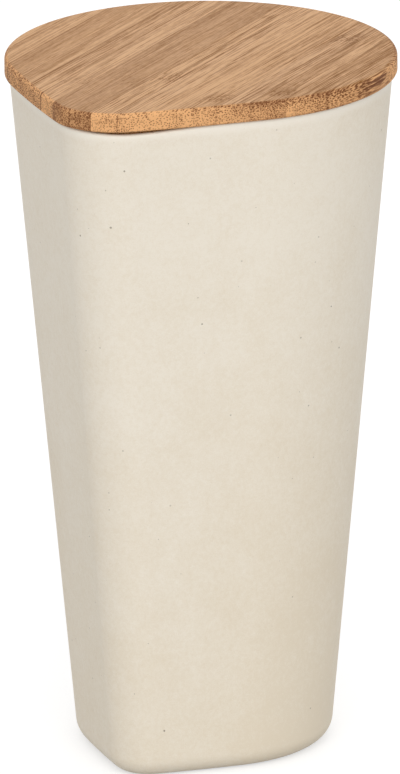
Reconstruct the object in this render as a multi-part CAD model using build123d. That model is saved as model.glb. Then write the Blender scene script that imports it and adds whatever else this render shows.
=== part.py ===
from build123d import *
import os
from math import atan2, ceil, degrees, floor, sqrt

# A tall drop-shaped storage canister with a lift-off bamboo lid.
# Lengths are in millimetres and angles in degrees. Z points up from the table, the round back of the
# outline faces +Y, and its soft corner faces -Y.

# Outline of the body at its rim, seen from above
rim_depth = 144.5          # from the soft corner to the back
back_radius = 64.0         # the round back, so the rim is twice this wide
corner_radius = 20.6       # the soft corner
side_radius = 555.0        # the slight bow of the two sides between them

# Body, one moulded shell that narrows evenly from rim to base
body_height = 231.7
base_width = 85.5
wall = 2.8
floor_thickness = 3.4
base_round = 7.0           # outside edge of the base
inside_round = 5.0         # corner between wall and floor, inside
rim_round = 1.0            # outside edge of the rim
rim_lead_in = 1.0          # bevel inside the rim, which lets the seal slide in
foot_width = 3.5           # flat ring that stands on the table
foot_recess = 0.9          # hollow inside that ring

# Lid board, glued up from bamboo strips that stand on edge, side by side
lid_thickness = 6.3
lid_overhang = 1.55
lid_top_round = 1.55
lid_under_bevel = 0.4
strip_width = 8.6
seam_offset = -0.5         # the seam nearest the middle
grain_lean = 1.7           # the strips lean this much off the lid's own axis
least_strip = 4.0          # an outer strip narrower than this stays part of its neighbour

# Plug under the lid, of the same strips, with a groove for the seal round its side
plug_height = 10.5
plug_gap = 1.0             # to the body's wall, at the plug's lower edge
plug_bevel = 0.8
groove_height = 4.4
groove_depth = 2.5
groove_drop = 2.9          # from the underside of the lid to the groove

# Silicone seal, a band in the groove with thin fins that reach for the wall
seal_seat_gap = 0.1        # behind the band
seal_wall_gap = 0.3        # from a fin's tip to the wall
fin_count = 2
fin_root = 1.3             # a fin's thickness where it leaves the band
fin_tip = 0.5


# Centres and tangent angles of the rim outline
back_y = rim_depth / 2 - back_radius
corner_y = corner_radius - rim_depth / 2
centre_gap = back_y - corner_y
to_back = side_radius - back_radius
to_corner = side_radius - corner_radius
side_drop = (to_back**2 - to_corner**2 + centre_gap**2) / (2 * centre_gap)
side_reach = sqrt(to_back**2 - side_drop**2)
side_y = back_y - side_drop
back_angle = degrees(atan2(side_drop, side_reach))
corner_angle = degrees(atan2(side_drop - centre_gap, side_reach))
side_sweep = back_angle - corner_angle

base_scale = base_width / (2 * back_radius)


def narrowing(height):
    """Size of the body's outline at a height, as a share of its size at the rim."""
    return base_scale + (1 - base_scale) * height / body_height


def outline(height, grow=0.0, level=None):
    """The body's outside outline at a height, moved outwards by grow and drawn at a level."""
    scale = narrowing(height)
    back_size = scale * back_radius + grow
    side_size = scale * side_radius + grow
    corner_size = scale * corner_radius + grow
    arcs = [
        CenterArc((0, scale * back_y), back_size, back_angle, 180 - 2 * back_angle),
        CenterArc((scale * side_reach, scale * side_y), side_size, 180 - back_angle, side_sweep),
        CenterArc((0, scale * corner_y), corner_size, 180 - corner_angle, 180 + 2 * corner_angle),
        CenterArc((-scale * side_reach, scale * side_y), side_size, corner_angle, side_sweep),
    ]
    return Pos(0, 0, height if level is None else level) * Wire(arcs)


def prism(height, grow, bottom, top):
    """A straight block of the outline at a height, moved outwards by grow, from bottom to top."""
    return extrude(make_face(outline(height, grow, bottom)), top - bottom)


def tapered(sections):
    """A block through the given outlines, with straight walls from each to the next."""
    return Part() + Solid.make_loft(sections, ruled=True)


def body():
    """The moulded shell: tapered walls, a floor, a softened rim and a ring foot."""
    floor_level = foot_recess + floor_thickness
    outside = tapered([outline(0), outline(body_height)])
    outside = fillet(outside.edges().group_by(Axis.Z)[0], base_round)
    hollow = tapered([outline(floor_level, -wall), outline(body_height, -wall)])
    hollow = fillet(hollow.edges().group_by(Axis.Z)[0], inside_round)
    bevel = min(rim_lead_in, 0.45 * wall)
    hollow += tapered([outline(body_height - bevel, -wall), outline(body_height, bevel - wall)])
    outside = fillet(outside.edges().group_by(Axis.Z)[-1], min(rim_round, 0.45 * wall))
    return outside - hollow - prism(0, -(base_round + foot_width), 0, foot_recess)


def lid_board():
    """The board over the rim, with a rounded upper edge and a slight bevel under it."""
    board = prism(body_height, lid_overhang, body_height, body_height + lid_thickness)
    levels = board.edges().group_by(Axis.Z)
    board = fillet(levels[-1], lid_top_round)
    return chamfer(board.edges().group_by(Axis.Z)[0], lid_under_bevel)


plug_level = body_height - plug_height
plug_side = -(wall + plug_gap)
groove_top = body_height - groove_drop
groove_bottom = groove_top - groove_height


def plug_board():
    """The plug that centres the lid in the rim, with the groove round its side."""
    plug = prism(plug_level, plug_side, plug_level, body_height)
    plug = chamfer(plug.edges().group_by(Axis.Z)[0], plug_bevel)
    around = prism(plug_level, plug_side + plug_gap, groove_bottom, groove_top)
    return plug - (around - prism(plug_level, plug_side - groove_depth, groove_bottom, groove_top))


def strips(board):
    """A board as the separate strips that it is glued up from, left to right."""
    straight = Rot(0, 0, -grain_lean) * board
    size = straight.bounding_box()
    low, high = size.min.X, size.max.X
    first = ceil((low + least_strip - seam_offset) / strip_width)
    last = floor((high - least_strip - seam_offset) / strip_width)
    seams = [seam_offset + strip_width * n for n in range(first, last + 1)]
    pieces = []
    for left, right in zip([low - strip_width] + seams, seams + [high + strip_width]):
        slab = Pos((left + right) / 2, 0, size.center().Z) * Box(right - left, 2 * rim_depth, 2 * body_height)
        pieces.append(Rot(0, 0, grain_lean) * (straight & slab))
    return pieces


def seal():
    """The seal ring: a band that sits in the groove, with fins spread evenly over its height."""
    pitch = groove_height / fin_count
    sections = [outline(plug_level, plug_side, groove_bottom)]
    for n in range(fin_count):
        middle = groove_bottom + (n + 0.5) * pitch
        sections.append(outline(plug_level, plug_side, middle - fin_root / 2))
        sections.append(outline(middle - fin_tip / 2, -(wall + seal_wall_gap)))
        sections.append(outline(middle + fin_tip / 2, -(wall + seal_wall_gap)))
        sections.append(outline(plug_level, plug_side, middle + fin_root / 2))
    sections.append(outline(plug_level, plug_side, groove_top))
    core = prism(plug_level, plug_side - groove_depth + seal_seat_gap, groove_bottom, groove_top)
    return tapered(sections) - core


os.makedirs("parts", exist_ok=True)
export_step(body(), "parts/canister_body.step")
export_step(seal(), "parts/seal_ring.step")
for name, board in (("lid_strip", lid_board()), ("plug_strip", plug_board())):
    for number, strip in enumerate(strips(board), 1):
        export_step(strip, f"parts/{name}_{number:02d}.step")
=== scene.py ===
from math import atan, atan2, cos, exp, pi, radians, sin, sqrt

import bmesh
import bpy
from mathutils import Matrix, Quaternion, Vector


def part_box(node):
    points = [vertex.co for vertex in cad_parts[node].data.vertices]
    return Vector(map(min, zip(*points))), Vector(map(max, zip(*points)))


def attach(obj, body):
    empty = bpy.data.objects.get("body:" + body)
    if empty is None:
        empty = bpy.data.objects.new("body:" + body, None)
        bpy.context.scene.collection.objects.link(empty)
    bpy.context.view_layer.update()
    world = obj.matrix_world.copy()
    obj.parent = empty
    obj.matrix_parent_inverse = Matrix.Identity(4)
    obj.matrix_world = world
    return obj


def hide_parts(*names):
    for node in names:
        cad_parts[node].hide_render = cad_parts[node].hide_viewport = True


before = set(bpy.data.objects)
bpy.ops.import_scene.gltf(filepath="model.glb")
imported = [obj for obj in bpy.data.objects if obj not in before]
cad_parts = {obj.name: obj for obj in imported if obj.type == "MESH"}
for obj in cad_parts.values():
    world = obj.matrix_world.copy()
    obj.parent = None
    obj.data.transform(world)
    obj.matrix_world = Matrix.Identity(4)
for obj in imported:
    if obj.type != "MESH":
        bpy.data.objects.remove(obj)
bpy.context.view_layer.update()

bl_info = {
    "name": "Storage canister with a bamboo lid",
    "version": (1, 0, 0),
    "blender": (4, 5, 0),
    "location": "3D View > Sidebar > Canister",
    "description": "Makes the shell of a drop-shaped canister and finishes its bamboo lid and its seal",
    "category": "Object",
}

MM = 0.001
LID_STRIPS = sorted(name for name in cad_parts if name.startswith("lid_strip"))
PLUG_STRIPS = sorted(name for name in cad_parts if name.startswith("plug_strip"))
BODY_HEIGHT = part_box("canister_body")[1].z


# Settings that a user would change

def length(name, description, default):
    """A size in metres."""
    return bpy.props.FloatProperty(
        name=name, description=description, default=default, min=0.0, precision=5,
        subtype="DISTANCE", unit="LENGTH")


def colour(name, description, default):
    """A linear colour."""
    return bpy.props.FloatVectorProperty(
        name=name, description=description, default=default, size=3, min=0.0, max=1.0, subtype="COLOR")


def share(name, description, default, most=1.0):
    """A plain number from nought to the most that it may be."""
    return bpy.props.FloatProperty(
        name=name, description=description, default=default, min=0.0, max=most, subtype="FACTOR")


def angle(name, description, default):
    """An angle, given in degrees and kept in radians."""
    return bpy.props.FloatProperty(
        name=name, description=description, default=radians(default), subtype="ANGLE", unit="ROTATION")


class ShellSizes(bpy.types.PropertyGroup):
    """Sizes of the moulded shell."""

    rim_depth: length("Rim depth", "From the soft corner to the back, at the rim", 144.5 * MM)
    back_radius: length("Back radius", "The round back of the rim outline", 64.0 * MM)
    corner_radius: length("Corner radius", "The soft corner of the rim outline", 20.6 * MM)
    side_radius: length("Side radius", "The slight bow of the two sides", 555.0 * MM)
    base_width: length("Base width", "Width of the outline at the table", 85.5 * MM)
    wall: length("Wall", "Thickness of the wall", 2.8 * MM)
    floor: length("Floor", "Thickness of the floor", 3.4 * MM)
    base_round: length("Base round", "Outside edge of the base", 7.0 * MM)
    inside_round: length("Inside round", "Corner between wall and floor", 5.0 * MM)
    rim_round: length("Rim round", "Outside edge of the rim", 1.0 * MM)
    lead_in: length("Rim bevel", "Bevel inside the rim", 1.0 * MM)
    foot_width: length("Foot width", "Flat ring that stands on the table", 3.5 * MM)
    foot_recess: length("Foot recess", "Hollow inside that ring", 0.9 * MM)
    rim_sag: length("Rim sag", "How much the rim dips beside the soft corner", 1.45 * MM)
    sag_reach: length("Sag reach", "How far along the rim that dip reaches", 20.0 * MM)


class ShellFinish(bpy.types.PropertyGroup):
    """Looks of the moulded bamboo-fibre compound."""

    base: colour("Compound", "Colour of the moulded compound", (0.818, 0.752, 0.642))
    # This colour gives the darker clouds and also the painted shade towards the foot and on the lower
    # flanks
    shade: colour("Shade", "Colour of its darker clouds", (0.740, 0.650, 0.512))
    # Painted light: this paler colour lightens the band just under the rim, where the lid's overhang shades
    # it
    painted_light_lip: colour("Lip", "Colour of the paler lip under the lid", (0.920, 0.865, 0.765))
    speck: colour("Speck", "Colour of the dark specks", (0.16, 0.12, 0.075))
    fibre: colour("Fibre", "Colour of the tan fibres", (0.52, 0.42, 0.28))
    pale_fibre: colour("Pale fibre", "Colour of the pale fibres", (0.93, 0.9, 0.83))
    mottle: share("Mottle", "Strength of the fine mottling", 0.9)
    roughness: share("Roughness", "Roughness of the matt surface", 0.62)


class BambooFinish(bpy.types.PropertyGroup):
    """Looks of the bamboo board."""

    strip_width: length("Strip width", "Width of one glued strip", 8.6 * MM)
    seam_offset: length("Seam offset", "How far left of the middle the nearest seam lies", 0.5 * MM)
    grain_lean: angle("Grain lean", "How far the grain leans off the lid's own axis", 1.7)
    top_light: colour("Face, light", "Lightest wood on the face", (0.635, 0.370, 0.188))
    top_dark: colour("Face, dark", "Darkest wood on the face", (0.240, 0.097, 0.018))
    end_light: colour("End grain, light", "Lightest end grain", (0.785, 0.425, 0.190))
    end_dark: colour("End grain, dark", "Darkest end grain", (0.17, 0.060, 0.021))
    bundle: length("Bundle spacing", "Distance between fibre bundles", 0.68 * MM)
    roughness: share("Roughness", "Roughness of the sanded wood", 0.6)


class SealFinish(bpy.types.PropertyGroup):
    """Looks of the silicone seal."""

    clear: colour("Clear", "Colour of the clearer silicone", (0.80, 0.80, 0.77))
    hazy: colour("Hazy", "Colour of its hazy patches", (0.70, 0.70, 0.67))


class StageLook(bpy.types.PropertyGroup):
    """Floor, light and camera."""

    azimuth: angle("Azimuth", "Where the camera stands, from the front towards the right", 27.6)
    elevation: angle("Elevation", "How far the camera stands above the horizon", 16.94)
    roll: angle("Roll", "Turn of the camera about its own line of sight", -0.63)
    distance: length("Distance", "From the camera to the point it looks at", 4.9)
    lens: bpy.props.FloatProperty(
        name="Lens", description="Focal length", default=679.3, min=1.0, subtype="DISTANCE_CAMERA")
    aim: bpy.props.FloatVectorProperty(
        name="Aim", description="The point the camera looks at", size=3, subtype="TRANSLATION",
        unit="LENGTH", default=(0.05 * MM, 4.93 * MM, 122.15 * MM))
    sky: share("Sky", "Strength of the even light all round", 0.73)
    key: share("Key", "Strength of the soft light from the front", 1.36, 10.0)
    key_azimuth: angle("Key azimuth", "Where the soft light stands", 30.0)
    key_elevation: angle("Key elevation", "How high the soft lights stand", 28.0)
    fill: share("Fill", "Strength of the soft light from behind", 0.42, 10.0)
    fill_azimuth: angle("Fill azimuth", "Where the light from behind stands", 205.0)
    lamp_spread: angle("Lamp spread", "How broad the soft lights look from the object", 60.0)
    floor_size: length("Floor size", "Width of the floor", 120.0)
    floor_dark: colour("Floor, dark", "Darker paint of the floor", (0.53, 0.53, 0.53))
    floor_light: colour("Floor, light", "Lighter paint of the floor", (0.57, 0.57, 0.57))
    floor_glow: share("Floor glow", "How much the floor is lifted to white where it is seen", 0.54)


# Shader maths as plain sums

def both_ways(operation):
    """The plain and the reflected form of an operator that adds a Math node."""
    def plain(self, other):
        return self.maths(operation, self, other)

    def reflected(self, other):
        return self.maths(operation, other, self)

    return plain, reflected


class Signal:
    """One output of a node, on which sums are written as plain Python."""

    __add__, __radd__ = both_ways("ADD")
    __sub__, __rsub__ = both_ways("SUBTRACT")
    __mul__, __rmul__ = both_ways("MULTIPLY")
    __truediv__, __rtruediv__ = both_ways("DIVIDE")
    __pow__, __rpow__ = both_ways("POWER")

    def __init__(self, board, source, output=0):
        self.board = board
        self.source = source
        self.output = output

    def also(self, output):
        """Another output of the same node."""
        return Signal(self.board, self.source, output)

    def maths(self, operation, *terms):
        """A Math node on these terms, each a signal or a number."""
        return self.board.node("ShaderNodeMath", {"operation": operation}, dict(enumerate(terms)))

    def __abs__(self):
        return self.maths("ABSOLUTE", self)

    def floor(self):
        """The whole number below."""
        return self.maths("FLOOR", self)

    def below(self, limit):
        """1 where this is under the limit, otherwise 0."""
        return self.maths("LESS_THAN", self, limit)

    def above(self, limit):
        """1 where this is over the limit, otherwise 0."""
        return self.maths("GREATER_THAN", self, limit)

    def least(self, other):
        """The smaller of the two."""
        return self.maths("MINIMUM", self, other)

    def most(self, other):
        """The larger of the two."""
        return self.maths("MAXIMUM", self, other)

    def equals(self, number):
        """1 where this is that whole number, otherwise 0."""
        return abs(self - number).below(0.5)

    def rise(self, low, high):
        """A smooth step from 0 at low to 1 at high."""
        return self.board.node(
            "ShaderNodeMapRange", {"interpolation_type": "SMOOTHSTEP"},
            {"Value": self, "From Min": low, "From Max": high, "To Min": 0.0, "To Max": 1.0})

    def fall(self, low, high):
        """A smooth step from 1 at low to 0 at high."""
        return 1.0 - self.rise(low, high)

    def spread(self, low, high):
        """This signal, from 0 to 1, as one from low to high."""
        return self * (high - low) + low


class Board:
    """The nodes of a material or a world, made from nothing."""

    def __init__(self, owner):
        owner.use_nodes = True
        self.owner = owner
        self.tree = owner.node_tree
        self.tree.nodes.clear()

    def node(self, kind, settings, inputs, output=0):
        """Adds a node with its settings, then the values or links of its sockets, and gives one output."""
        made = self.tree.nodes.new(kind)
        for key, value in settings.items():
            # A ramp's settings, its stops and the kind of step between them, lie one level deeper
            if key == "stops":
                self.set_stops(made.color_ramp, value)
            elif key == "steps":
                made.color_ramp.interpolation = value
            else:
                setattr(made, key, value)
        for key, value in inputs.items():
            if isinstance(value, Signal):
                self.tree.links.new(value.source.outputs[value.output], made.inputs[key])
            else:
                made.inputs[key].default_value = value
        return Signal(self, made, output)

    @staticmethod
    def set_stops(ramp, stops):
        """Gives a ramp its stops, each a place and a grey."""
        while len(ramp.elements) < len(stops):
            ramp.elements.new(1.0)
        for element, (place, value) in zip(ramp.elements, stops):
            element.position = place
            element.color = (value, value, value, 1.0)

    def place(self):
        """Where the surface lies at rest, in millimetres, as a vector."""
        spot = self.node("ShaderNodeTexCoord", {}, {}, "Object")
        return self.node("ShaderNodeVectorMath", {"operation": "SCALE"}, {0: spot, "Scale": 1.0 / MM})

    def parts(self, vector):
        """The three numbers of a vector or a colour."""
        split = self.node("ShaderNodeSeparateXYZ", {}, {0: vector})
        return [split.also(n) for n in range(3)]

    def vector(self, x, y, z):
        """A vector from three signals or numbers."""
        return self.node("ShaderNodeCombineXYZ", {}, {0: x, 1: y, 2: z})

    def noise(self, vector, size, detail=2.0, roughness=0.5):
        """Cloudy noise whose features are about this size, in the vector's own units."""
        return self.node(
            "ShaderNodeTexNoise", {},
            {"Vector": vector, "Scale": 1.0 / size, "Detail": detail, "Roughness": roughness})

    def cells(self, vector, size, dimensions="3D", randomness=1.0):
        """Distance from the nearest scattered point, in cells, and that point's own random colour."""
        near = self.node(
            "ShaderNodeTexVoronoi", {"voronoi_dimensions": dimensions},
            {"Vector": vector, "Scale": 1.0 / size, "Randomness": randomness}, "Distance")
        return near, near.also("Color")

    def luck(self, number):
        """A random number from 0 to 1 that belongs to this number."""
        return self.node("ShaderNodeTexWhiteNoise", {"noise_dimensions": "1D"}, {"W": number})

    def blend(self, factor, first, second):
        """A colour between the first and the second."""
        first, second = (c if isinstance(c, Signal) else (*c, 1.0) for c in (first, second))
        # A Mix node has sockets for every kind of data: 6, 7 and output 2 are those for colours
        return self.node("ShaderNodeMix", {"data_type": "RGBA"}, {0: factor, 6: first, 7: second}, 2)

    def table(self, number, first, values):
        """The value listed for a whole number, where the list starts at the first number."""
        count = len(values)
        stops = [(n / count, value) for n, value in enumerate(values)]
        place = (number - first + 0.5) / count
        return self.node("ShaderNodeValToRGB", {"stops": stops, "steps": "CONSTANT"}, {"Fac": place})

    def bump(self, height, strength, depth):
        """A normal that follows a height signal, whose full range is this deep in metres."""
        return self.node(
            "ShaderNodeBump", {}, {"Height": height, "Strength": strength, "Distance": depth}, "Normal")

    def seen(self):
        """1 for rays that show this to the camera, straight, in a reflection or through glass."""
        path = self.node("ShaderNodeLightPath", {}, {}, "Is Camera Ray")
        return path.most(path.also("Is Glossy Ray")).most(path.also("Is Transmission Ray"))

    def surface(self, **inputs):
        """Ends a material in a Principled shader with these sockets."""
        named = {key.replace("_", " ").title().replace("Ior", "IOR"): inputs[key] for key in inputs}
        shader = self.node("ShaderNodeBsdfPrincipled", {}, named)
        self.node("ShaderNodeOutputMaterial", {}, {"Surface": shader})
        return self.owner


def new_board(name):
    """The empty board of a new material."""
    return Board(bpy.data.materials.new(name))


def dress(names, material):
    """Gives the model's own solids a material."""
    for name in names:
        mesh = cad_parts[name].data
        mesh.materials.clear()
        mesh.materials.append(material)


# The moulded shell

SAG_MIDDLE = Vector((14.0, -66.0)) * MM     # where the rim dips most, seen from above
SAG_DEPTH = 25.0 * MM                       # how far down the wall the dip fades out
SHARP_ANGLE = radians(35)                   # an edge that turns more than this stays sharp

# Places on the shell, in millimetres: the middle between its flanks, which are darkened with painted shade
# low down, and pairs between which its colour changes
MIDDLE = -4.0
FLANKS = (22.0, 50.0)
# Heights over which the painted shade on the flanks fades out upwards
FLANK_SHADE_HEIGHTS = (40.0, 200.0)
# Heights between which painted shade darkens the shell towards the foot
SHADE_HEIGHTS = (10.0, 200.0)
# Heights of the painted light band just under the rim
PAINTED_LIGHT_LIP_HEIGHTS = (227.0, 230.5)
# The three ways that fibres lie: each stretches space along one axis
FIBRE_STRETCHES = ((0.25, 1.0, 1.0), (1.0, 0.25, 1.0), (1.0, 1.0, 0.25))
FIBRE_SPACING = 1.15
SPECK_SPACING = 5.6


class Drop:
    """The drop-shaped outline, which narrows evenly from the rim to the base."""

    # How many columns of points each arc has
    columns_in = {"back": 168, "side": 30, "corner": 56}

    def __init__(self, sizes):
        back_y = sizes.rim_depth / 2 - sizes.back_radius
        corner_y = sizes.corner_radius - sizes.rim_depth / 2
        to_back = sizes.side_radius - sizes.back_radius
        to_corner = sizes.side_radius - sizes.corner_radius
        gap = back_y - corner_y
        side_drop = (to_back**2 - to_corner**2 + gap**2) / (2 * gap)
        side_reach = sqrt(to_back**2 - side_drop**2)
        side_y = back_y - side_drop
        back_angle = atan2(side_drop, side_reach)
        corner_angle = atan2(side_drop - gap, side_reach)
        sweep = back_angle - corner_angle
        self.base_scale = sizes.base_width / (2 * sizes.back_radius)
        self.columns = []
        self.arc(0.0, back_y, sizes.back_radius, back_angle, pi - 2 * back_angle, "back")
        self.arc(side_reach, side_y, sizes.side_radius, pi - back_angle, sweep, "side")
        self.arc(0.0, corner_y, sizes.corner_radius, pi - corner_angle, pi + 2 * corner_angle, "corner")
        self.arc(-side_reach, side_y, sizes.side_radius, corner_angle, sweep, "side")

    def arc(self, x, y, radius, start, sweep, kind):
        """Adds one arc's columns, each with its centre, its radius and the way it faces."""
        count = self.columns_in[kind]
        for n in range(count):
            turn = start + sweep * n / count
            self.columns.append((Vector((x, y)), radius, Vector((cos(turn), sin(turn)))))

    def narrowing(self, height):
        """Size of the outline at a height, as a share of its size at the rim."""
        return self.base_scale + (1 - self.base_scale) * height / BODY_HEIGHT

    def row(self, height, grow, level=None):
        """The outline at a height, moved outwards by grow and drawn at a level."""
        scale = self.narrowing(height)
        level = height if level is None else level
        return [Vector((*(centre * scale + way * (radius * scale + grow)), level))
                for centre, radius, way in self.columns]

    def round_row(self, centre_height, radius, grow, start, part):
        """A row of the round between a level face, at part 0, and the leaning wall, at part 1."""
        points = []
        for centre, size, way in self.columns:
            slope = (1 - self.base_scale) / BODY_HEIGHT * (centre.dot(way) + size)
            lean = atan(slope)
            turn = start + (-lean - start) * part
            inset = radius * (cos(turn) - slope * sin(turn) - 1 / cos(lean))
            height = centre_height + radius * sin(turn)
            scale = self.narrowing(height)
            points.append(Vector((*(centre * scale + way * (size * scale + grow + inset)), height)))
        return points


def shell_rows(sizes):
    """Rings of points over the shell, from the inside floor over the rim to the recess underneath."""
    drop = Drop(sizes)
    round_steps = 10
    wall_steps = 24
    turns = [n / round_steps for n in range(round_steps + 1)]
    climbs = [n / wall_steps for n in range(1, wall_steps + 1)]
    inner_bottom = sizes.foot_recess + sizes.floor + sizes.inside_round
    inner_top = BODY_HEIGHT - sizes.lead_in
    rim_bottom = BODY_HEIGHT - sizes.rim_round
    foot_inset = -(sizes.base_round + sizes.foot_width)
    soft = 0.3 * MM          # the small bevels of the ring foot
    rows = []
    for part in turns:
        rows.append(drop.round_row(inner_bottom, sizes.inside_round, -sizes.wall, -pi / 2, part))
    for part in climbs:
        rows.append(drop.row(inner_bottom + (inner_top - inner_bottom) * part, -sizes.wall))
    rows.append(drop.row(BODY_HEIGHT, sizes.lead_in - sizes.wall))
    for part in turns:
        rows.append(drop.round_row(rim_bottom, sizes.rim_round, 0.0, pi / 2, part))
    for part in climbs:
        rows.append(drop.row(rim_bottom + (sizes.base_round - rim_bottom) * part, 0.0))
    for part in reversed(turns):
        rows.append(drop.round_row(sizes.base_round, sizes.base_round, 0.0, -pi / 2, part))
    rows.append(drop.row(0.0, foot_inset + soft))
    rows.append(drop.row(0.0, foot_inset, soft))
    rows.append(drop.row(0.0, foot_inset, sizes.foot_recess - soft))
    rows.append(drop.row(0.0, foot_inset - soft, sizes.foot_recess))
    return rows


def fill_level(mesh, ring):
    """Fills a level ring of vertices with smaller rings and a middle point."""
    middle = sum((vert.co for vert in ring), Vector()) / len(ring)
    shrink_steps = 5
    for step in range(1, shrink_steps):
        size = 1 - step / shrink_steps
        shrink = size / (size + 1 / shrink_steps)
        inner = [mesh.verts.new(middle + (vert.co - middle) * shrink) for vert in ring]
        join(mesh, ring, inner)
        ring = inner
    centre = mesh.verts.new(middle)
    for first, second in zip(ring, ring[1:] + ring[:1]):
        mesh.faces.new((first, second, centre))


def join(mesh, lower, upper):
    """Joins two rings of vertices with faces."""
    for n in range(len(lower)):
        m = (n + 1) % len(lower)
        mesh.faces.new((lower[n], lower[m], upper[m], upper[n]))


def sag(sizes, point):
    """How far the rim dips at a point, most beside the soft corner and fading down the wall."""
    along = exp(-((point.xy - SAG_MIDDLE).length / sizes.sag_reach)**2)
    fade = max(0.0, 1 - (BODY_HEIGHT - point.z) / SAG_DEPTH)
    return sizes.rim_sag * along * fade


def object_from(name, mesh):
    """An object with smooth faces and sharp edges, made from a bmesh."""
    bmesh.ops.recalc_face_normals(mesh, faces=mesh.faces)
    data = bpy.data.meshes.new(name)
    mesh.to_mesh(data)
    mesh.free()
    data.shade_smooth()
    data.set_sharp_from_angle(angle=SHARP_ANGLE)
    made = bpy.data.objects.new(name, data)
    bpy.context.scene.collection.objects.link(made)
    return made


def moulded_finish(look):
    """Matt bamboo-fibre compound: fine mottling, pale and tan fibres, a few dark specks, painted shade low
    down and painted light under the rim.
    """
    board = new_board("moulded_compound")
    place = board.place()
    x, y, z = board.parts(place)

    cloud = board.noise(place, 26.0, 3.0, 0.55)
    patch = board.noise(place, 5.5, 3.0, 0.6)
    mottle = board.noise(place, 1.5, 3.0, 0.65)
    grain = board.noise(place, 0.42, 2.0, 0.6)
    tone = (cloud - 0.5) * 0.55 + (patch - 0.5) * 0.35 + (mottle - 0.5) * 0.75 + (grain - 0.5) * 0.7
    # Painted shade: the lower flanks are darkened towards the shade colour
    painted_flank_shade = abs(x - MIDDLE).rise(*FLANKS) * z.fall(*FLANK_SHADE_HEIGHTS) * 0.34
    # Painted shade: the shell darkens towards the foot
    tone = tone * look.mottle * 1.7 + z.fall(*SHADE_HEIGHTS) * 0.40 + painted_flank_shade + 0.19
    skin = board.blend(tone.most(0.0).least(1.0), look.base, look.shade)
    # Painted light: the top few millimetres under the rim are lightened, against the shade of the lid's
    # overhang
    skin = board.blend(z.rise(*PAINTED_LIGHT_LIP_HEIGHTS) * 0.8, skin, look.painted_light_lip)

    # Fibres: most cells have none, some a tan one and some a pale one
    for number, (stretch_x, stretch_y, stretch_z) in enumerate(FIBRE_STRETCHES):
        turned = board.vector(
            (x + y * 0.35 * (number + 1)) * stretch_x,
            (y - z * 0.3) * stretch_y,
            (z + x * 0.4) * stretch_z + number * 9.0)
        near, own = board.cells(turned, FIBRE_SPACING)
        red, green = board.parts(own)[:2]
        thread = near.fall(0.035, 0.11)
        skin = board.blend(thread * red.above(0.78) * green.spread(0.1, 0.42), skin, look.fibre)
        skin = board.blend(thread * red.below(0.2) * green.spread(0.15, 0.5), skin, look.pale_fibre)

    ragged = board.noise(place, 0.3, 2.0, 0.5)
    near, own = board.cells(place, SPECK_SPACING)
    red, green = board.parts(own)[:2]
    width = red**2.0 * 0.042 + 0.014
    speck = (near + (ragged - 0.5) * 0.025 - width).fall(0.0, 0.015)
    skin = board.blend(speck * green.spread(0.2, 0.75), skin, look.speck)

    height = (mottle - 0.5) * 0.5 + (grain - 0.5) * 0.8 - speck * 0.5
    rough = mottle.spread(-0.05, 0.05) + look.roughness
    return board.surface(
        base_color=skin, roughness=rough, normal=board.bump(height, 0.35, 0.06 * MM), ior=1.46)


class CANISTER_OT_shell(bpy.types.Operator):
    """Make the moulded shell"""

    bl_idname = "canister.shell"
    bl_label = "Moulded shell"

    def execute(self, context):
        sizes = context.scene.canister_shell
        mesh = bmesh.new()
        rings = [[mesh.verts.new(point) for point in row] for row in shell_rows(sizes)]
        for lower, upper in zip(rings, rings[1:]):
            join(mesh, lower, upper)
        fill_level(mesh, rings[0])
        fill_level(mesh, rings[-1])
        for vert in mesh.verts:
            vert.co.z -= sag(sizes, vert.co)
        shell = object_from("moulded_shell", mesh)
        shell.data.materials.append(moulded_finish(context.scene.canister_compound))
        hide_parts("canister_body")
        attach(shell, "canister")
        return {"FINISHED"}


# The bamboo lid, its plug and the seal

FIRST_STRIP = -8
# Shade of each strip from left to right, 0 dark to 1 light: its face, then its end grain
FACE_SHADES = (
    0.88, 0.67, 0.45, 0.57, 0.53, 0.69, 0.40, 0.41, 0.66, 0.73, 0.74, 0.62, 0.60, 0.53, 0.42, 0.50)
END_SHADES = (
    0.44, 0.57, 0.65, 0.56, 0.59, 0.76, 0.29, 0.27, 0.80, 0.89, 0.86, 0.79, 0.68, 0.51, 0.64, 0.52)
# How coarse each strip's fibre bundles are, 0 fine to 1 coarse
COARSENESS = (
    0.4, 0.35, 0.9, 0.7, 0.7, 0.4, 0.3, 0.5, 0.35, 0.60, 0.5, 0.5, 0.6, 0.55, 0.7, 0.95)
# How streaky each strip's face is
STREAKS = (
    0.60, 0.75, 0.35, 0.55, 0.90, 0.80, 0.55, 0.45, 1.40, 1.15, 0.85, 0.95, 1.05, 1.00, 0.95, 0.90)
# Seams, by number, that show as dark lines
DARK_SEAMS = (-6, -3)
# Knuckles of the cane: the strip, the place along it in millimetres and the strength
KNUCKLES = (
    (0, -23.0, 1.0), (3, -39.0, 0.9), (5, -25.0, 1.1), (4, 44.0, 0.9), (-1, -33.0, 0.35), (-3, -39.0, 0.35))
KNUCKLE_EDGE = (2.0, 8.0)   # how far along the strip a knuckle fades out, in millimetres
KNUCKLE_BOW = 9.0           # a quarter of this is how far it bows at the sides of its strip
KNUCKLE_WAVER = 6.0         # how far it wavers along the strip
# The last strip in which the bundles are spaced evenly: right of it they stand closer across the strips
LAST_EVEN_STRIP = 3.0
STRIP_SHIFT = 31.7          # each strip comes from another part of the cane, this far on
PLUG_SHIFT = 400.0          # and the plug from another board, in millimetres
SEAM_EDGE = (0.08, 0.40)    # how far from the glue a dark seam fades out, in millimetres

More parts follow.
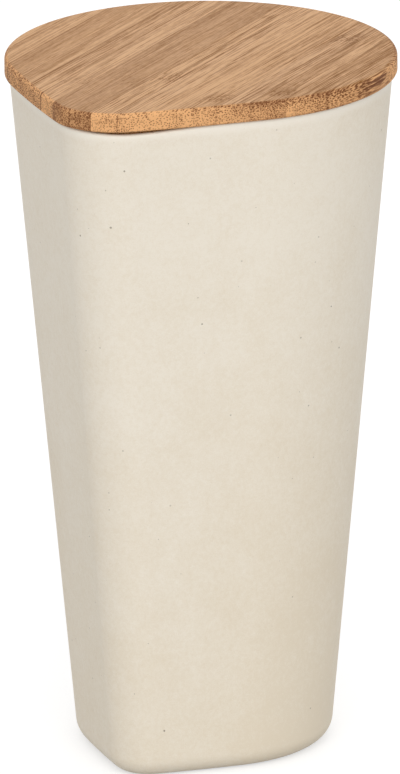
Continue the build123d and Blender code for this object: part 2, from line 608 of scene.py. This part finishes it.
# Tones of the wood: fineness across the grain and along it, then the noise's detail and roughness
THREAD = (1.7, 0.024, 3.0, 0.62)
HAIR = (4.2, 0.085, 2.0, 0.6)
BAND = (0.30, 0.010, 2.0, 0.5)
DAPPLE = (1.1, 0.28, 3.0, 0.65)
BLOTCH = (0.28, 0.2, 2.0, 0.5)

# Shares of a surface's direction: along the grain, where it turns into end grain, and up or down, where
# the edge turns into the face
END_GRAIN_TURN = (0.03, 0.26)
SIDE_TURN = (0.55, 0.95)

# Where the lid's edge changes, in millimetres, each from one place or height to another
RIGHT_HALF = (22.0, 45.0)         # across: a dark band and fainter dots set in
DARK_BAND = (235.5, 237.8)        # height: that band, along the upper edge
FAINT_DOTS = (232.0, 236.5)       # height: downwards the dots of the right half fade
DOTS_END = (62.5, 64.0)           # across: the dots end, where the edge runs along the strips
STREAKS_BEGIN = (62.0, 63.5)      # across: dark streaks take their place
STREAK_HEIGHTS = (232.5, 235.0)   # height: the streaks' lower end
OUTER_STRIP = (58.0, 60.0)        # across: the outermost strip
BEYOND_TURN = (9.0, 17.0)         # along: past the turn, where that strip is lighter


def bamboo_finish(name, look, shift):
    """Bamboo strips on edge: fibre bundles that run along each strip and show as dots at its ends."""
    board = new_board(name)
    x, y, z = board.parts(board.place())
    lean = look.grain_lean
    strip_width = look.strip_width / MM
    across = x * cos(lean) + y * sin(lean)
    along = y * cos(lean) - x * sin(lean)
    step = (across + look.seam_offset / MM) / strip_width
    strip = step.floor()
    side = step - strip
    own = across + strip * STRIP_SHIFT + shift

    facing = board.node("ShaderNodeTexCoord", {}, {}, "Normal")
    face_x, face_y, face_z = board.parts(facing)
    end_grain = abs(face_y * cos(lean) - face_x * sin(lean)).rise(*END_GRAIN_TURN)
    side_face = abs(face_z).fall(*SIDE_TURN)

    # Bundles wander a little as they run, so that the face cuts them into long streaks
    sway = board.noise(board.vector(own * 0.10, along * 0.026, z * 0.10), 1.0, 1.0)
    dip = board.noise(board.vector(own * 0.14 + 50.0, along * 0.022, z * 0.14), 1.0, 1.0)
    spacing = look.bundle / MM
    wander = 1.0 - end_grain
    sideways = (sway - 0.5) * wander
    upwards = (dip - 0.5) * wander
    crowded = (strip.most(LAST_EVEN_STRIP) - LAST_EVEN_STRIP) * 0.10 + 1.0
    spot = board.vector((own + sideways * 2.0) * crowded, z + upwards * 4.5, 0.0)
    near, kind = board.cells(spot, spacing, "2D", 0.9)
    red, green = board.parts(kind)[:2]
    # Bundles crowd towards the bark, which some strips have on their right and some on their left
    bark = board.luck(strip + shift + 3.0).above(0.3)
    rind = bark * side + (1.0 - bark) * (1.0 - side)
    coarse = board.table(strip, FIRST_STRIP, COARSENESS)
    reach = coarse * 0.12 + 0.25 - rind * 0.03
    crowd = rind * 0.30 + coarse * 0.20 + 0.74
    bundle = (near - reach).fall(-0.12, 0.12) * red.below(crowd) * green.spread(0.6, 1.0)
    second = board.vector(own * 1.6 + 11.0 + sideways * 3.0, z * 1.6 + upwards * 7.0, 0.0)
    near_pale, kind_pale = board.cells(second, spacing, "2D", 1.0)
    pale = near_pale.fall(0.15, 0.45) * board.parts(kind_pale)[0].above(0.35)

    # The wood between the bundles
    def wood(fine, lengthwise, detail, roughness):
        """Noise in a strip's own wood, with its fineness across the grain and along it."""
        stretched = board.vector(own * fine, along * lengthwise, z * fine)
        return board.noise(stretched, 1.0, detail, roughness)

    thread, hair, band, dapple, blotch = (wood(*tone) for tone in (THREAD, HAIR, BAND, DAPPLE, BLOTCH))

    seam_gap = side.least(1.0 - side) * strip_width
    nearest_seam = (step + 0.5).floor()
    glue = board.luck(nearest_seam + 17.5 + shift) * 0.4
    for number in DARK_SEAMS:
        glue = glue.most(nearest_seam.equals(number))
    seam = seam_gap.fall(*SEAM_EDGE) * glue

    # The upper face, and the edge where it runs along the strips
    streak = board.table(strip, FIRST_STRIP, STREAKS)
    crisp = thread.rise(0.32, 0.68)
    face_tone = (crisp - 0.5) * 0.8 + (hair - 0.5) * 1.3 - bundle * (coarse * 0.15 + 0.32) + pale * 0.20
    face_tone = face_tone * streak + board.table(strip, FIRST_STRIP, FACE_SHADES)
    face_tone = face_tone + (band - 0.5) * 0.55 + (dapple - 0.5) * 0.75 - rind * rind * 0.12
    face_tone = face_tone + 0.11 - seam * 0.5
    right = across.rise(*RIGHT_HALF)
    upper = z.rise(*DARK_BAND) * right
    dotted = across.fall(*DOTS_END)
    beyond = across.rise(*OUTER_STRIP) * along.rise(*BEYOND_TURN)
    streaks = across.rise(*STREAKS_BEGIN) * z.rise(*STREAK_HEIGHTS) * thread.fall(0.46, 0.58)
    streaks = streaks * (1.0 - beyond) * 0.7
    darker = bundle * dotted * 0.85 + streaks + upper * dotted * 0.4 + 0.05 - beyond * 0.2
    face_tone = face_tone - darker * side_face

    # Knuckles of the cane, on the upper face
    bow = (side - 0.5) * (side - 0.5) * KNUCKLE_BOW
    knuckle = 0.0
    for number, middle, strength in KNUCKLES:
        distance = abs(along - middle + bow + (band - 0.5) * KNUCKLE_WAVER)
        knuckle = strip.equals(number) * distance.fall(*KNUCKLE_EDGE) * strength + knuckle
    pith = board.cells(board.vector(own, along * 0.45, z), 1.0)[0].fall(0.15, 0.55)
    face_tone = face_tone - knuckle * (pith * 0.6 + 0.2)

    # The end grain
    faint = z.fall(*FAINT_DOTS) * right
    end_tone = board.table(strip, FIRST_STRIP, END_SHADES) + 0.15 + (thread - 0.5) * 0.5
    end_tone = end_tone + (hair - 0.5) * 0.7 + (dapple - 0.5) * 0.5 + (blotch - 0.5) * 0.9
    end_tone = end_tone - bundle * (coarse * 0.25 + 0.75) * (1.0 - faint * 0.5) - faint * 0.06
    end_tone = end_tone + pale * 0.45 - rind * rind * 0.15 - seam * 0.8
    end_tone = end_tone - upper * dotted * 0.35 + beyond * 0.35

    tone = (face_tone + (end_tone - face_tone) * end_grain).most(0.0).least(1.0)
    face_colour = board.blend(tone, look.top_dark, look.top_light)
    edge_colour = board.blend(tone, look.end_dark, look.end_light)
    colour_seen = board.blend(side_face.most(end_grain), face_colour, edge_colour)

    height = thread * 0.5 + hair * 0.35 - bundle * 0.6 - seam * 0.8
    rough = board.luck(strip + shift).spread(-0.03, 0.03) + bundle * 0.10
    rough = rough + end_grain * 0.08 + look.roughness
    return board.surface(
        base_color=colour_seen, roughness=rough, normal=board.bump(height, 0.4, 0.05 * MM),
        specular_ior_level=0.14)


class CANISTER_OT_lid(bpy.types.Operator):
    """Finish the strips of the lid board"""

    bl_idname = "canister.lid"
    bl_label = "Lid board"

    def execute(self, context):
        dress(LID_STRIPS, bamboo_finish("bamboo_lid", context.scene.canister_bamboo, 0.0))
        return {"FINISHED"}


class CANISTER_OT_plug(bpy.types.Operator):
    """Finish the strips of the plug under the lid"""

    bl_idname = "canister.plug"
    bl_label = "Plug"

    def execute(self, context):
        dress(PLUG_STRIPS, bamboo_finish("bamboo_plug", context.scene.canister_bamboo, PLUG_SHIFT))
        return {"FINISHED"}


def silicone_finish(look):
    """Pale hazy silicone with a little dust on it."""
    board = new_board("clear_silicone")
    place = board.place()
    haze = board.noise(place, 3.0, 3.0)
    dust = board.noise(place, 0.35, 2.0)
    tone = board.blend(haze * 0.7 + dust * 0.2, look.clear, look.hazy)
    return board.surface(
        base_color=tone, roughness=haze.spread(0.28, 0.42), normal=board.bump(dust, 0.2, 0.03 * MM),
        ior=1.41)


class CANISTER_OT_seal(bpy.types.Operator):
    """Finish the silicone seal"""

    bl_idname = "canister.seal"
    bl_label = "Seal"

    def execute(self, context):
        dress(["seal_ring"], silicone_finish(context.scene.canister_silicone))
        return {"FINISHED"}


# The stage

FLOOR_GAP = 0.05 * MM       # the floor lies just under the foot, so that the two never share a level
FLOOR_CLOUDS = 900.0        # size of the floor's paler patches, in millimetres
LAMP_DISTANCE = 3.0
CLIP_END = 500.0            # far enough for the whole floor


def floor_finish(look):
    """Pale floor that looks white, and still shows the canister's shadow."""
    board = new_board("pale_floor")
    cloud = board.noise(board.place(), FLOOR_CLOUDS)
    paint = board.blend(cloud, look.floor_dark, look.floor_light)
    return board.surface(
        base_color=paint, roughness=0.9, specular_ior_level=0.0,
        emission_color=board.seen() * look.floor_glow, emission_strength=1.0)


def away(azimuth, elevation):
    """The direction from the object towards a place, where azimuth 0 is the front."""
    return Vector((sin(azimuth) * cos(elevation), -cos(azimuth) * cos(elevation), sin(elevation)))


class CANISTER_OT_stage(bpy.types.Operator):
    """Make the floor, the light and the camera"""

    bl_idname = "canister.stage"
    bl_label = "Stage"

    def execute(self, context):
        look = context.scene.canister_stage
        mesh = bmesh.new()
        bmesh.ops.create_grid(mesh, x_segments=4, y_segments=4, size=look.floor_size / 2)
        floor = object_from("floor", mesh)
        floor.data.materials.append(floor_finish(look))
        floor.location.z = -FLOOR_GAP
        self.light_world(context.scene, look)
        self.add_lamp(context.scene, look, "key", look.key, look.key_azimuth)
        self.add_lamp(context.scene, look, "fill", look.fill, look.fill_azimuth)
        self.add_camera(context.scene, look)
        context.scene.view_settings.view_transform = "Standard"
        return {"FINISHED"}

    def light_world(self, scene, look):
        """Even pale light all round, which the camera sees as white."""
        world = bpy.data.worlds.new("studio")
        board = Board(world)
        strength = board.seen().spread(look.sky, 1.0)
        white = (1.0, 1.0, 1.0, 1.0)
        light = board.node("ShaderNodeBackground", {}, {"Color": white, "Strength": strength})
        board.node("ShaderNodeOutputWorld", {}, {"Surface": light})
        scene.world = world

    def add_lamp(self, scene, look, name, strength, azimuth):
        """One broad soft light."""
        lamp = bpy.data.lights.new(name, "SUN")
        lamp.energy = strength
        lamp.angle = look.lamp_spread
        holder = bpy.data.objects.new(name, lamp)
        back = away(azimuth, look.key_elevation)
        holder.location = back * LAMP_DISTANCE
        holder.rotation_mode = "QUATERNION"
        holder.rotation_quaternion = (-back).to_track_quat("-Z", "Y")
        scene.collection.objects.link(holder)

    def add_camera(self, scene, look):
        """The camera, far off behind a long lens."""
        data = bpy.data.cameras.new("camera")
        data.lens = look.lens
        data.clip_end = CLIP_END
        camera = bpy.data.objects.new("camera", data)
        back = away(look.azimuth, look.elevation)
        camera.location = Vector(look.aim) + back * look.distance
        camera.rotation_mode = "QUATERNION"
        upright = (-back).to_track_quat("-Z", "Y")
        camera.rotation_quaternion = upright @ Quaternion((0, 0, 1), look.roll)
        scene.collection.objects.link(camera)
        scene.camera = camera


class VIEW3D_PT_canister(bpy.types.Panel):
    """Sizes, looks and pieces of the canister"""

    bl_label = "Storage canister"
    bl_space_type = "VIEW_3D"
    bl_region_type = "UI"
    bl_category = "Canister"

    def draw(self, context):
        for group in SETTINGS:
            box = self.layout.box()
            box.label(text=group.__doc__)
            settings = getattr(context.scene, SETTINGS[group])
            for name in group.__annotations__:
                box.prop(settings, name)
        for operator in OPERATORS:
            self.layout.operator(operator.bl_idname)


SETTINGS = {
    ShellSizes: "canister_shell",
    ShellFinish: "canister_compound",
    BambooFinish: "canister_bamboo",
    SealFinish: "canister_silicone",
    StageLook: "canister_stage",
}
OPERATORS = (CANISTER_OT_shell, CANISTER_OT_lid, CANISTER_OT_plug, CANISTER_OT_seal, CANISTER_OT_stage)


def register():
    for group, name in SETTINGS.items():
        bpy.utils.register_class(group)
        setattr(bpy.types.Scene, name, bpy.props.PointerProperty(type=group))
    for operator in OPERATORS:
        bpy.utils.register_class(operator)
    bpy.utils.register_class(VIEW3D_PT_canister)


def unregister():
    bpy.utils.unregister_class(VIEW3D_PT_canister)
    for operator in reversed(OPERATORS):
        bpy.utils.unregister_class(operator)
    for group, name in SETTINGS.items():
        delattr(bpy.types.Scene, name)
        bpy.utils.unregister_class(group)


def main():
    register()
    bpy.ops.canister.shell()
    bpy.ops.canister.lid()
    bpy.ops.canister.plug()
    bpy.ops.canister.seal()
    bpy.ops.canister.stage()


if __name__ == "__main__":
    main()
